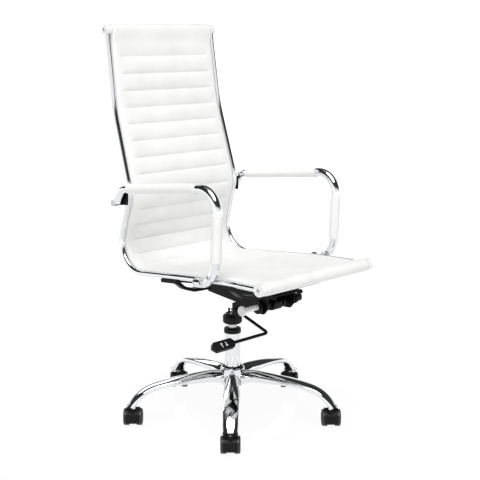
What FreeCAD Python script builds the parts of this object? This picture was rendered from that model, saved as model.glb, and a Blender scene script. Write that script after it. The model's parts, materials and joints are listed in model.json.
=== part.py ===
import FreeCAD, Part
import math
import os
import Sketcher
from FreeCAD import Placement, Rotation, Vector

# Swivel office chair with a ribbed sling seat on chromed side rails.
# Millimetres. The chair faces -Y, +X is the sitter's left, +Z is up.
# The origin is on the floor, on the swivel axis.

doc = FreeCAD.newDocument("SwivelOfficeChair")
sheet = doc.addObject("Spreadsheet::Sheet", "Dimensions")

DIMENSIONS = [
    # base
    ("hub_radius", 37.5), ("hub_bottom", 105), ("hub_top", 162), ("hub_round", 6),
    ("hub_ring_outer", 31), ("hub_ring_top", 165), ("hub_ring_seat", 156),
    ("leg_wall", 2), ("leg_bead", 1.6), ("first_leg_angle", -135.7), ("leg_count", 5),
    # casters
    ("caster_pitch_radius", 318), ("caster_heading", -44.5), ("caster_trail", 14),
    ("wheel_radius", 26), ("wheel_width", 17.5), ("wheel_inner_face", 11.5), ("wheel_round", 5),
    ("axle_radius", 4), ("stem_radius", 5.5), ("stem_bottom", 36), ("stem_top", 80),
    ("hood_gap", 1.2), ("hood_thickness", 2.6), ("hood_half_width", 20.5), ("web_half_width", 10.8),
    ("hood_lower_edge", 12), ("stem_boss_radius", 10.5), ("stem_boss_top", 57),
    ("running_clearance", 0.05),
    # column
    ("column_radius", 25), ("column_bore", 21), ("column_bottom", 106), ("column_top", 270.6),
    ("bush_flange_radius", 26.5), ("bush_top", 286.4), ("bush_depth", 32),
    ("cylinder_radius", 14), ("cylinder_bore", 11.9), ("cylinder_bottom", 130), ("cylinder_top", 331),
    ("cylinder_guide", 8), ("rod_radius", 5), ("rod_bottom", 110), ("rod_head_bottom", 230),
    ("rod_head_height", 10), ("washer_radius", 15), ("washer_height", 4),
    ("collar_radius", 30), ("collar_bottom", 300), ("collar_top", 328), ("collar_round", 7),
    ("valve_radius", 3), ("valve_bottom", 322), ("valve_top", 343),
    # mechanism under the seat
    ("housing_half_width", 17), ("plate", 3), ("flange_radius", 22),
    ("stud_radius", 3.4), ("stud_rear", 15), ("stud_top", 345),
    ("tilt_axis_rear", -173), ("tilt_axis_height", 395),
    ("tube_radius", 12.5), ("tube_bore", 10.5), ("tube_near_end", -64), ("tube_far_end", 112),
    ("end_disc_radius", 20), ("end_disc_width", 6), ("torsion_shaft_radius", 6),
    ("far_cap_radius", 4), ("far_cap_width", 9),
    ("knob_radius", 15), ("knob_width", 9), ("knob_shaft_radius", 8), ("knob_shaft_length", 57),
    ("pan_half_width", 58), ("flange_width", 12), ("flange_height", 10.5),
    # levers
    ("lever_radius", 4.75), ("lever_x", -24), ("lever_pivot_rear", -36), ("lever_pivot_height", 355),
    ("lever_bend_rear", -173), ("lever_bend_height", 309), ("lever_end_x", -162),
    ("paddle_length", 90), ("paddle_width", 30), ("paddle_thickness", 12),
    ("lock_radius", 4), ("lock_height", 440), ("lock_length", 200), ("lock_sleeve_radius", 6),
    # side rails
    ("rail_radius", 9), ("rail_wall", 1.5), ("rail_half_spacing", 226), ("rail_lean", 1.15),
    ("rail_reference_height", 490),
    # sling
    ("sling_above", 13), ("sling_below", 9), ("front_roll_radius", 19.5), ("top_roll_radius", 18),
    ("front_cap_radius", 18), ("top_cap_radius", 15), ("cap_screw_radius", 5.5), ("cap_screw_head", 2.4),
    ("cap_screw_shank", 3), ("roll_rod_radius", 9), ("edge_gap", 0.3),
    # arms
    ("arm_x", 250), ("arm_radius", 13.3), ("arm_wall", 1.8), ("sleeve_radius", 15.6),
    ("cross_bar_radius", 9.5), ("cross_bar_half_length", 258), ("cross_bar_rear", 247),
    ("cross_bar_height", 676), ("cross_bar_cap", 4), ("foot_cap_width", 4),
    ("arm_bolt_shank", 3), ("arm_bolt_head", 6.5), ("gusset_gap", 0.4),
]

# Side rail centreline in its own plane (rear, height) with the radius of each bend.
RAIL_POINTS = [(-338, 503), (-185, 500), (287, 458), (213, 709), (287, 955), (319, 1188)]
RAIL_BENDS = [1500, 88, 110, 420]

# Arm loop centreline (rear, height): foot, front corner, upper corner, rear corner, rear end.
ARM_POINTS = [(-112, 490), (-186, 493), (-199, 764), (214, 722), (243, 680)]
ARM_BENDS = [68, 62, 40]

# Leg stations: distance out, height, downward slope, half width, half height, side radius.
LEG_STATIONS = [
    (18, 134, 0, 20.5, 20.0, 15),
    (60, 134.5, 0, 21.5, 19.8, 15),
    (105, 134.3, 2, 23.0, 17.8, 13),
    (155, 132, 4, 24.6, 14.0, 10.5),
    (202, 128, 8, 25.3, 10.4, 8.2),
    (238, 121.8, 14, 25.2, 9.8, 7.8),
    (268, 112.8, 24, 24.6, 10.4, 8),
    (293, 98.5, 38, 23.8, 11.2, 8.6),
    (311, 82, 50, 23.0, 11.6, 9),
    (323.5, 65.5, 56, 22.5, 11.6, 9),
]

for row, (alias, number) in enumerate(DIMENSIONS, start=1):
    sheet.set(f"A{row}", alias)
    sheet.set(f"B{row}", str(number))
    sheet.setAlias(f"B{row}", alias)
doc.recompute()

parts = []


def size(alias):
    """Reads one driving dimension from the sheet."""
    return float(sheet.get(alias))


def bind(feature, **expressions):
    """Binds properties of a feature to cells of the sheet; a bare word is an alias."""
    for name, expression in expressions.items():
        words = expression.split()
        bound = [f"Dimensions.{word}" if word[0].isalpha() else word for word in words]
        feature.setExpression(name, " ".join(bound))


def keep(feature, label):
    """Makes a feature one of the chair's sub-parts, named after its label."""
    feature.Label = label
    parts.append(feature)
    return feature


# ---------------------------------------------------------------- geometry helpers

def along_x(x, rear, height):
    """Placement that lays a cylinder's axis along +X from the given point."""
    return Placement(Vector(x, rear, height), Rotation(Vector(0, 1, 0), 90))


def cylinder(name, radius, height, placement=Placement()):
    """A Part::Cylinder whose radius and height are expressions on the sheet."""
    feature = doc.addObject("Part::Cylinder", name)
    bind(feature, Radius=radius, Height=height)
    feature.Placement = placement
    return feature


def combine(kind, name, first, second):
    """A Part::Cut, Part::Fuse or Part::Common of two features."""
    feature = doc.addObject(f"Part::{kind}", name)
    feature.Base = first
    feature.Tool = second
    return feature


def fuse_all(name, features):
    """Several solids as one feature; solids that don't touch stay separate."""
    feature = doc.addObject("Part::MultiFuse", name)
    feature.Shapes = features
    return feature


def group(label, features):
    """Several separate solids of one kind kept in one node."""
    feature = doc.addObject("Part::Compound", label)
    feature.Links = features
    return keep(feature, label)


def origin_plane(body, role):
    """One of a body's own origin planes."""
    return next(item for item in body.Origin.OriginFeatures if item.Role == role)


def new_sketch(body, name, role, offset=Placement()):
    """A sketch on an origin plane of its own body."""
    sketch = body.newObject("Sketcher::SketchObject", name)
    sketch.AttachmentSupport = [(origin_plane(body, role), "")]
    sketch.MapMode = "FlatFace"
    sketch.AttachmentOffset = offset
    return sketch


def add_circle(sketch, radius, centre=Vector(0, 0, 0)):
    """A circle whose radius is bound to the sheet."""
    index = sketch.addGeometry(Part.Circle(centre, Vector(0, 0, 1), 1.0), False)
    name = f"radius_{index}"
    sketch.addConstraint(Sketcher.Constraint("Radius", index, 1.0))
    sketch.renameConstraint(sketch.ConstraintCount - 1, name)
    bind(sketch, **{f"Constraints.{name}": radius})


def rounded_path(points, bends, closed=False):
    """Straight runs joined by tangent arcs, as sketch geometry."""
    corners = [Vector(u, v, 0) for u, v in points]
    count = len(corners)
    radii = list(bends) if closed else [0] + list(bends) + [0]
    entries, exits, arcs = [], [], []
    for index, corner in enumerate(corners):
        radius = radii[index]
        if radius == 0:
            entries.append(corner)
            exits.append(corner)
            arcs.append(None)
            continue
        before = (corners[index - 1] - corner).normalize()
        after = (corners[(index + 1) % count] - corner).normalize()
        half_angle = before.getAngle(after) / 2
        reach = radius / math.tan(half_angle)
        bisector = (before + after).normalize()
        centre = corner + bisector * (radius / math.sin(half_angle))
        middle = centre - bisector * radius
        entries.append(corner + before * reach)
        exits.append(corner + after * reach)
        arcs.append(Part.Arc(entries[-1], middle, exits[-1]))
    geometry = []
    for index in range(count):
        if arcs[index]:
            geometry.append(arcs[index])
        if closed or index < count - 1:
            start, end = exits[index], entries[(index + 1) % count]
            if (end - start).Length > 1e-6:
                geometry.append(Part.LineSegment(start, end))
    return geometry


def offset_points(points, distance):
    """The corners of a path moved sideways, to its left for a positive distance."""
    corners = [Vector(u, v, 0) for u, v in points]
    moved = []
    for index, corner in enumerate(corners):
        sides = []
        if index > 0:
            sides.append((corner - corners[index - 1]).normalize())
        if index < len(corners) - 1:
            sides.append((corners[index + 1] - corner).normalize())
        normals = [Vector(-side.y, side.x, 0) for side in sides]
        total = normals[0] + normals[-1]
        scale = 2 * distance / (total.Length ** 2)
        place = corner + total * scale
        moved.append((place.x, place.y))
    return moved


def offset_bends(points, bends, distance):
    """The bend radii of a path moved sideways: a left turn tightens, a right turn opens."""
    corners = [Vector(u, v, 0) for u, v in points]
    moved = []
    for index, radius in enumerate(bends, start=1):
        before = corners[index] - corners[index - 1]
        after = corners[index + 1] - corners[index]
        turn = 1 if before.cross(after).z > 0 else -1
        moved.append(radius - turn * distance)
    return moved


def band_outline(points, bends, left, right):
    """A closed band along a path, from `left` on its left to `right` on its right."""
    upper = offset_points(points, left)
    lower = offset_points(points, -right)
    upper_bends = [0] + offset_bends(points, bends, left) + [0]
    lower_bends = [0] + offset_bends(points, bends, -right) + [0]
    return rounded_path(upper + lower[::-1], upper_bends + lower_bends[::-1], closed=True)


def padded_outline(name, role, geometry, length, offset=Placement(), middle=True):
    """A body that pads one closed outline; the length is an expression on the sheet."""
    body = doc.addObject("PartDesign::Body", name)
    sketch = new_sketch(body, f"{name}_outline", role, offset)
    sketch.addGeometry(geometry, False)
    pad = body.newObject("PartDesign::Pad", f"{name}_pad")
    pad.Profile = sketch
    pad.Midplane = middle
    bind(pad, Length=length)
    return body


def pocket_outline(body, name, role, geometry, length):
    """Cuts one closed outline through a body, evenly to both sides of its plane."""
    sketch = new_sketch(body, f"{name}_outline", role)
    sketch.addGeometry(geometry, False)
    pocket = body.newObject("PartDesign::Pocket", f"{name}_pocket")
    pocket.Profile = sketch
    pocket.Midplane = True
    bind(pocket, Length=length)
    return pocket


def bent_tube(name, points, bends, outer, inner=None, role="YZ_Plane"):
    """A round bar or tube swept along straight runs and tangent arcs in one plane."""
    body = doc.addObject("PartDesign::Body", name)
    path = new_sketch(body, f"{name}_path", role)
    geometry = rounded_path(points, bends)
    path.addGeometry(geometry, False)
    start = Vector(points[0][0], points[0][1], 0)
    direction = Vector(points[1][0], points[1][1], 0) - start
    across = Placement(start, Rotation(Vector(0, 0, 1), direction))
    section = new_sketch(body, f"{name}_section", role, across)
    add_circle(section, outer)
    if inner:
        add_circle(section, inner)
    pipe = body.newObject("PartDesign::AdditivePipe", f"{name}_pipe")
    pipe.Profile = section
    pipe.Spine = (path, [f"Edge{index + 1}" for index in range(len(geometry))])
    return body


def turned(name, points, bends, axis="V_Axis", role="XZ_Plane", offset=Placement()):
    """A body turned about the sketch's upright axis from a closed (radius, height) outline."""
    body = doc.addObject("PartDesign::Body", name)
    sketch = new_sketch(body, f"{name}_outline", role, offset)
    sketch.addGeometry(rounded_path(points, bends, closed=True), False)
    revolution = body.newObject("PartDesign::Revolution", f"{name}_turn")
    revolution.Profile = sketch
    revolution.ReferenceAxis = (sketch, [axis])
    revolution.Angle = 360
    return body


def oval(half_width, half_height, side_radius):
    """A four-arc oval: small side arcs tangent to large top and bottom arcs."""
    reach = half_width - side_radius
    crown = (reach ** 2 + half_height ** 2 - side_radius ** 2) / (2 * (half_height - side_radius))
    side = Vector(reach, 0, 0)
    top = Vector(0, half_height - crown, 0)
    corner = side + (side - top).normalize() * side_radius
    places = [Vector(corner.x, corner.y, 0), Vector(-corner.x, corner.y, 0),
              Vector(-corner.x, -corner.y, 0), Vector(corner.x, -corner.y, 0)]
    middles = [Vector(0, half_height, 0), Vector(-half_width, 0, 0),
               Vector(0, -half_height, 0), Vector(half_width, 0, 0)]
    return [Part.Arc(places[index], middles[index], places[(index + 1) % 4]) for index in range(4)]


def oval_loft(body, name, kind, stations, shrink):
    """Lofts ovals set square to the leg's centreline into a body."""
    sketches = []
    for index, (out, height, slope, half_width, half_height, side) in enumerate(stations):
        tilt = Placement(Vector(0, height, out), Rotation(Vector(1, 0, 0), slope))
        sketch = new_sketch(body, f"{name}_{index}", "YZ_Plane", tilt)
        sketch.addGeometry(oval(half_width - shrink, half_height - shrink, side - shrink), False)
        sketches.append(sketch)
    loft = body.newObject(f"PartDesign::{kind}", name)
    loft.Profile = sketches[0]
    loft.Sections = sketches[1:]
    return loft


# ---------------------------------------------------------------- base

def leg_angles():
    """World angle of each leg."""
    count = int(size("leg_count"))
    return [size("first_leg_angle") + 360 / count * index for index in range(count)]


def about_z(angle, x=0.0, y=0.0, z=0.0):
    """Placement turned about the upright axis through a point."""
    return Placement(Vector(x, y, z), Rotation(Vector(0, 0, 1), angle))


def make_hub():
    """Chromed hub with a bore for the column and a recess for the ring around its foot."""
    outer, bore = size("hub_radius"), size("column_radius")
    bottom, top = size("hub_bottom"), size("hub_top")
    ring, seat = size("hub_ring_outer"), size("hub_ring_seat")
    outline = [(bore, bottom), (outer, bottom), (outer, top), (ring, top), (ring, seat), (bore, seat)]
    keep(turned("hub", outline, [0, 3, size("hub_round"), 0, 0, 0]), "base_hub")


def make_hub_ring():
    """Black ring in the hub around the foot of the column."""
    outline = [(size("column_radius"), size("hub_ring_seat")), (size("hub_ring_outer"), size("hub_ring_seat")),
               (size("hub_ring_outer"), size("hub_ring_top")), (size("column_radius"), size("hub_ring_top"))]
    keep(turned("hub_ring_body", outline, [0, 0, 3, 0]), "hub_ring")


def extended_tip():
    """The leg's stations with the last one pushed a little further along its slope."""
    out, height, slope, half_width, half_height, side = LEG_STATIONS[-1]
    push = 4.0
    angle = math.radians(slope)
    beyond = (out + push * math.cos(angle), height - push * math.sin(angle), slope,
              half_width, half_height, side)
    return LEG_STATIONS[:-1] + [beyond]


def make_leg(index, angle):
    """One hollow pressed leg with a rolled bead round its open tip."""
    name = f"leg_{index}"
    body = doc.addObject("PartDesign::Body", f"{name}_body")
    oval_loft(body, f"{name}_outside", "AdditiveLoft", LEG_STATIONS, 0)
    bead = size("leg_bead")
    out, height, slope, half_width, half_height, side = LEG_STATIONS[-1]
    length = 4.0
    radians = math.radians(slope)
    back = (out - length * math.cos(radians), height + length * math.sin(radians), slope,
            half_width, half_height, side)
    oval_loft(body, f"{name}_bead", "AdditiveLoft", [back, LEG_STATIONS[-1]], -bead)
    oval_loft(body, f"{name}_inside", "SubtractiveLoft", extended_tip(), size("leg_wall"))
    hub = cylinder(f"{name}_hub_cut", "hub_radius", "hub_top")
    stem = cylinder(f"{name}_stem_cut", "stem_radius + 1", "stem_top",
                    Placement(Vector(size("caster_pitch_radius"), 0, 0), Rotation()))
    cut = combine("Cut", f"{name}_cut", body, fuse_all(f"{name}_tools", [hub, stem]))
    cut.Placement = about_z(angle)
    keep(cut, f"base_leg_{index}")


def make_leg_plug(index, angle):
    """The plug that closes a leg's tip and holds the caster's stem."""
    name = f"plug_{index}"
    body = doc.addObject("PartDesign::Body", f"{name}_body")
    oval_loft(body, f"{name}_inside", "AdditiveLoft", extended_tip(), size("leg_wall"))
    pitch = size("caster_pitch_radius")
    reach = 21.0
    block = doc.addObject("Part::Box", f"{name}_block")
    block.Length = 2 * reach
    block.Width = 4 * reach
    block.Height = 3 * reach
    block.Placement = Placement(Vector(pitch - reach, -2 * reach, 59.5), Rotation())
    bore = cylinder(f"{name}_bore", "stem_radius", "stem_top", Placement(Vector(pitch, 0, 0), Rotation()))
    filled = combine("Common", f"{name}_filled", body, block)
    cut = combine("Cut", f"{name}_cut", filled, bore)
    cut.Placement = about_z(angle)
    return cut


def make_stem(index, angle):
    """The steel stem on which a caster swivels, held in the leg."""
    radians = math.radians(angle)
    pitch = size("caster_pitch_radius")
    place = Placement(Vector(pitch * math.cos(radians), pitch * math.sin(radians), size("stem_bottom")),
                      Rotation())
    return cylinder(f"stem_{index}", "stem_radius", "stem_top - stem_bottom", place)


# ---------------------------------------------------------------- casters

def caster_place(angle):
    """Where a caster's stem axis meets the floor, turned to its heading."""
    radians = math.radians(angle)
    pitch = size("caster_pitch_radius")
    return about_z(size("caster_heading"), pitch * math.cos(radians), pitch * math.sin(radians))


def make_caster_housing(index, angle):
    """Black hood: a web between the wheels, a fender over them and a boss round the stem."""
    name = f"housing_{index}"
    trail, wheel = size("caster_trail"), size("wheel_radius")
    hood = wheel + size("hood_gap") + size("hood_thickness")
    web = cylinder(f"{name}_web", "wheel_radius - 1", "2 * web_half_width",
                   along_x(-size("web_half_width"), trail, wheel))
    shell = cylinder(f"{name}_shell", "wheel_radius + hood_gap + hood_thickness", "2 * hood_half_width",
                     along_x(-size("hood_half_width"), trail, wheel))
    room = cylinder(f"{name}_room", "wheel_radius + hood_gap", "3 * hood_half_width",
                    along_x(-1.5 * size("hood_half_width"), trail, wheel))
    shell_cut = combine("Cut", f"{name}_shell_cut", shell, room)
    upper = doc.addObject("Part::Box", f"{name}_upper")
    upper.Length = 3 * hood
    upper.Width = 2 * hood
    upper.Height = hood
    upper.Placement = Placement(Vector(-1.5 * hood, trail - hood, wheel), Rotation())
    leading = doc.addObject("Part::Box", f"{name}_leading")
    leading.Length = 3 * hood
    leading.Width = hood
    leading.Height = 2 * hood
    leading.Placement = Placement(Vector(-1.5 * hood, trail - hood - 4, 0), Rotation())
    covered = fuse_all(f"{name}_covered", [upper, leading])
    fender = combine("Common", f"{name}_fender", shell_cut, covered)
    rib = cylinder(f"{name}_rib", "wheel_radius + hood_gap + 1", "2 * web_half_width",
                   along_x(-size("web_half_width"), trail, wheel))
    rib_upper = combine("Common", f"{name}_rib_upper", rib, covered)
    boss = cylinder(f"{name}_boss", "stem_boss_radius", "stem_boss_top - 28",
                    Placement(Vector(0, 0, 28), Rotation()))
    boss_band = doc.addObject("Part::Box", f"{name}_boss_band")
    bind(boss_band, Length="2 * web_half_width")
    boss_band.Width = 3 * hood
    boss_band.Height = 24
    boss_band.Placement = Placement(Vector(-size("web_half_width"), -1.5 * hood, 28), Rotation())
    boss_low = combine("Common", f"{name}_boss_low", boss, boss_band)
    boss_top = cylinder(f"{name}_boss_top", "stem_boss_radius", "stem_boss_top - 52.5",
                        Placement(Vector(0, 0, 52.5), Rotation()))
    solid = fuse_all(f"{name}_solid", [web, fender, rib_upper, boss_low, boss_top])
    below = doc.addObject("Part::Box", f"{name}_below")
    below.Length = 3 * hood
    below.Width = 3 * hood
    bind(below, Height="hood_lower_edge")
    below.Placement = Placement(Vector(-1.5 * hood, trail - 1.5 * hood, 0), Rotation())
    axle = cylinder(f"{name}_axle_bore", "axle_radius + running_clearance", "3 * hood_half_width",
                    along_x(-1.5 * size("hood_half_width"), trail, wheel))
    stem = cylinder(f"{name}_stem_bore", "stem_radius + running_clearance", "stem_top",
                    Placement(Vector(0, 0, size("stem_bottom") - 1), Rotation()))
    wheels_room = []
    for side in (-1, 1):
        start = size("web_half_width") if side > 0 else -size("web_half_width") - 40
        wheels_room.append(cylinder(f"{name}_side_{side + 1}", "wheel_radius + hood_gap", "wheel_radius + 14",
                                    along_x(start, trail, wheel)))
    tools = fuse_all(f"{name}_tools", [below, axle, stem] + wheels_room)
    cut = combine("Cut", f"{name}_cut", solid, tools)
    cut.Placement = caster_place(angle)
    keep(cut, f"caster_housing_{index}")


def make_caster_wheels(index, angle):
    """Two wheels on one axle."""
    name = f"wheels_{index}"
    radius, width, inner = size("wheel_radius"), size("wheel_width"), size("wheel_inner_face")
    axle, rounding = size("axle_radius"), size("wheel_round")
    body = doc.addObject("PartDesign::Body", f"{name}_body")
    place = Placement(Vector(size("caster_trail"), radius, 0), Rotation())
    sketch = new_sketch(body, f"{name}_outline", "XZ_Plane")
    recess = 2.5
    outline = [(0, -inner - width + recess), (radius * 0.62, -inner - width + recess),
               (radius * 0.72, -inner - width), (radius, -inner - width), (radius, -inner), (axle, -inner),
               (axle, inner), (radius, inner), (radius, inner + width), (radius * 0.72, inner + width),
               (radius * 0.62, inner + width - recess), (0, inner + width - recess)]
    rounds = [0, 0, 0, rounding, 1.5, 0, 0, 1.5, rounding, 0, 0, 0]
    sketch.addGeometry(rounded_path(outline, rounds, closed=True), False)
    revolution = body.newObject("PartDesign::Revolution", f"{name}_turn")
    revolution.Profile = sketch
    revolution.ReferenceAxis = (sketch, ["V_Axis"])
    revolution.Angle = 360
    lay = Placement(Vector(0, place.Base.x, place.Base.y), Rotation(Vector(0, 1, 0), 90))
    body.Placement = caster_place(angle).multiply(lay)
    keep(body, f"caster_wheels_{index}")


# ---------------------------------------------------------------- column

def make_column():
    """Chromed outer tube, its top bush, and the gas spring inside it."""
    radius, bore = size("column_radius"), size("column_bore")
    bottom, top = size("column_bottom"), size("column_top")
    floor = 3
    tube = [(0, bottom), (radius, bottom), (radius, top), (bore, top), (bore, bottom + floor),
            (0, bottom + floor)]
    keep(turned("column_tube_body", tube, [0] * 6), "column_tube")
    slide = size("cylinder_radius") + size("running_clearance")
    flange, bush_top, depth = size("bush_flange_radius"), size("bush_top"), size("bush_depth")
    bush = [(slide, top - depth), (bore, top - depth), (bore, top), (flange, top), (flange, bush_top),
            (slide, bush_top)]
    keep(turned("column_bush_body", bush, [0, 0, 0, 1.5, 4, 0]), "column_bush")
    outer, inner = size("cylinder_radius"), size("cylinder_bore")
    low, high = size("cylinder_bottom"), size("cylinder_top")
    rod = size("rod_radius") + size("running_clearance")
    guide = low + size("cylinder_guide")
    valve = size("valve_radius") + size("running_clearance")
    crown = high - 35
    pocket = size("valve_bottom") - 6
    gas = [(rod, low), (outer, low), (outer, high), (valve, high), (valve, pocket), (0, pocket),
           (0, crown), (inner, crown), (inner, guide), (rod, guide)]
    keep(turned("gas_cylinder_body", gas, [0, 1, 1.5, 0, 0, 0, 0, 0, 0, 0]), "gas_cylinder")
    head = inner - size("running_clearance")
    rod_bottom, head_bottom = size("rod_bottom"), size("rod_head_bottom")
    head_top = head_bottom + size("rod_head_height")
    spindle = [(0, rod_bottom), (size("rod_radius"), rod_bottom), (size("rod_radius"), head_bottom),
               (head, head_bottom), (head, head_top), (0, head_top)]
    keep(turned("piston_rod_body", spindle, [0] * 6), "piston_rod")
    washer = size("washer_radius")
    washer_low = rod_bottom + 3
    washer_high = washer_low + size("washer_height")
    ring = [(size("rod_radius"), washer_low), (washer, washer_low), (washer, washer_high),
            (size("rod_radius"), washer_high)]
    keep(turned("thrust_washer_body", ring, [0] * 4), "thrust_bearing")
    collar, low, high = size("collar_radius"), size("collar_bottom"), size("collar_top")
    rounding = size("collar_round")
    puck = [(outer, low), (collar, low), (collar, high), (outer, high)]
    keep(turned("collar_body", puck, [0, rounding + 2, rounding, 0]), "column_collar")
    valve_low, valve_high = size("valve_bottom"), size("valve_top")
    pin = [(0, valve_low), (size("valve_radius"), valve_low), (size("valve_radius"), valve_high),
           (0, valve_high)]
    keep(turned("valve_pin_body", pin, [0, 0, 1, 0]), "valve_pin")


# ---------------------------------------------------------------- mechanism

def make_housing():
    """Pressed steel neck on a flange over the collar, which carries the tilt axis."""
    rear, height = size("tilt_axis_rear"), size("tilt_axis_height")
    outline = [(-16, 328), (-16, 371), (-60, 384), (-140, 403), (rear, height + 23), (rear - 22, height + 8),
               (rear - 18, height - 16), (rear + 12, height - 20), (-80, 363), (-46, 340), (-38, 328)]
    rounds = [0, 4, 0, 20, 14, 14, 12, 16, 20, 14, 0]
    body = padded_outline("housing_body", "YZ_Plane", rounded_path(outline, rounds, closed=True),
                          "2 * housing_half_width")
    inside = [(-19, 331), (-19, 430), (-146, 430), (-146, 300), (-48, 300), (-48, 331)]
    pocket_outline(body, "housing_inside", "YZ_Plane", rounded_path(inside, [0] * 6, closed=True),
                   "2 * housing_half_width - 2 * plate")
    flange = cylinder("housing_flange", "flange_radius", "1.5 * plate",
                      Placement(Vector(0, 0, size("collar_top")), Rotation()))
    stud = cylinder("housing_stud", "stud_radius", "stud_top - collar_top",
                    Placement(Vector(0, size("stud_rear"), size("collar_top")), Rotation()))
    bore = cylinder("housing_bore", "cylinder_radius", "cylinder_top",
                    Placement(Vector(0, 0, 100), Rotation()))
    long_way = 4 * size("housing_half_width")
    axis_bore = cylinder("housing_tube_bore", "tube_radius", "8 * housing_half_width",
                         along_x(-long_way, rear, height))
    pivot_bore = cylinder("housing_pivot_bore", "axle_radius + running_clearance", "8 * housing_half_width",
                          along_x(-long_way, size("lever_pivot_rear"), size("lever_pivot_height")))
    tongue_gap = doc.addObject("Part::Box", "housing_tongue_gap")
    tongue_gap.Length = 14
    tongue_gap.Width = 20
    tongue_gap.Height = 14
    tongue_gap.Placement = Placement(Vector(-7, -26, 336), Rotation())
    solid = fuse_all("housing_solid", [body, flange, stud])
    tools = fuse_all("housing_tools", [bore, axis_bore, pivot_bore, tongue_gap])
    keep(combine("Cut", "housing_cut", solid, tools), "mechanism_housing")


def make_tilt_unit():
    """Torsion tube across the chair with its shaft, rubber sleeve, end disc and far cap."""
    rear, height = size("tilt_axis_rear"), size("tilt_axis_height")
    near, far = size("tube_near_end"), size("tube_far_end")
    plain_tube = cylinder("torsion_tube_outside", "tube_radius", "tube_far_end - tube_near_end",
                          along_x(near, rear, height))
    clamps = [cylinder(f"torsion_tube_clamp_{x}", "tube_radius + 4", "3 * plate", along_x(x, rear, height))
              for x in (28, 84)]
    tube = fuse_all("torsion_tube_solid", [plain_tube] + clamps)
    bore = cylinder("torsion_tube_bore", "tube_bore", "2 * tube_far_end - 2 * tube_near_end",
                    along_x(2 * near, rear, height))
    keep(combine("Cut", "torsion_tube_cut", tube, bore), "torsion_tube")
    sleeve = cylinder("torsion_sleeve_outside", "tube_bore", "tube_far_end - tube_near_end - 12",
                      along_x(near + 6, rear, height))
    sleeve_bore = cylinder("torsion_sleeve_bore", "torsion_shaft_radius",
                           "2 * tube_far_end - 2 * tube_near_end", along_x(2 * near, rear, height))
    keep(combine("Cut", "torsion_sleeve_cut", sleeve, sleeve_bore), "torsion_sleeve")
    keep(cylinder("torsion_shaft_body", "torsion_shaft_radius", "tube_far_end - tube_near_end",
                  along_x(near, rear, height)), "torsion_shaft")
    keep(cylinder("tube_end_disc_body", "end_disc_radius", "end_disc_width",
                  along_x(near - size("end_disc_width"), rear, height)), "tube_end_disc")
    cap_radius, cap_width = size("far_cap_radius"), size("far_cap_width")
    outline = [(0, 0), (size("tube_radius"), 0), (size("tube_radius"), 3), (cap_radius, 3),
               (cap_radius, cap_width), (0, cap_width)]
    cap = turned("tube_far_cap_body", outline, [0, 0, 2, 0, 1.5, 0])
    cap.Placement = along_x(far, rear, height)
    keep(cap, "tube_far_cap")


def make_tension_knob():
    """Round knob on a plain shaft, in line with the torsion tube."""
    rear, height = size("tilt_axis_rear"), size("tilt_axis_height")
    start = size("tube_near_end") - size("end_disc_width") - size("edge_gap")
    end = start - size("knob_shaft_length")
    keep(cylinder("knob_shaft_body", "knob_shaft_radius", "knob_shaft_length", along_x(end, rear, height)),
         "tension_knob_shaft")
    radius, width = size("knob_radius"), size("knob_width")
    outline = [(0, -width), (radius, -width), (radius, 0), (0, 0)]
    knob = turned("tension_knob_body", outline, [0, 3.5, 2.5, 0])
    knob.Placement = along_x(end, rear, height)
    keep(knob, "tension_knob")


# ---------------------------------------------------------------- hand levers

def make_height_lever():
    """Cranked rod on a pivot shaft, with a tongue over the valve pin, and a hexagonal paddle."""
    pivot = Vector(0, size("lever_pivot_rear"), size("lever_pivot_height"))
    bend = Vector(0, size("lever_bend_rear"), size("lever_bend_height"))
    length = (bend - pivot).Length
    rod_x, end_x = size("lever_x"), size("lever_end_x")
    rod = bent_tube("lever_rod_body", [(rod_x, 0), (rod_x, -length), (end_x, -length)], [12],
                    "lever_radius", role="XY_Plane")
    slope = math.degrees(math.atan2(pivot.z - bend.z, pivot.y - bend.y))
    rod.Placement = Placement(pivot, Rotation(Vector(1, 0, 0), slope))
    shaft = cylinder("lever_shaft", "axle_radius", "2 * housing_half_width + 12",
                     along_x(rod_x, pivot.y, pivot.z))
    tongue_low = size("valve_top") + size("edge_gap")
    arm = doc.addObject("Part::Box", "lever_arm")
    arm.Length = 8
    arm.Width = 5
    arm.Height = pivot.z - tongue_low
    arm.Placement = Placement(Vector(-4, pivot.y - 2, tongue_low), Rotation())
    tongue = doc.addObject("Part::Box", "lever_tongue")
    tongue.Length = 8
    tongue.Width = 4 - pivot.y
    tongue.Height = 3
    tongue.Placement = Placement(Vector(-4, pivot.y, tongue_low), Rotation())
    keep(fuse_all("lever_solid", [rod, shaft, arm, tongue]), "height_lever_rod")
    half_length, half_width = size("paddle_length") / 2, size("paddle_width") / 2
    point = half_width * 0.75
    outline = [(half_length, 0), (half_length - point, half_width), (-half_length + point, half_width),
               (-half_length, 0), (-half_length + point, -half_width), (half_length - point, -half_width)]
    paddle = padded_outline("paddle_body", "XY_Plane", rounded_path(outline, [4] * 6, closed=True),
                            "paddle_thickness")
    middle = Vector(end_x - half_length, bend.y, bend.z)
    paddle.Placement = Placement(middle, Rotation(Vector(1, 0, 0), 42))
    keep(paddle, "height_lever_paddle")


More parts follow.
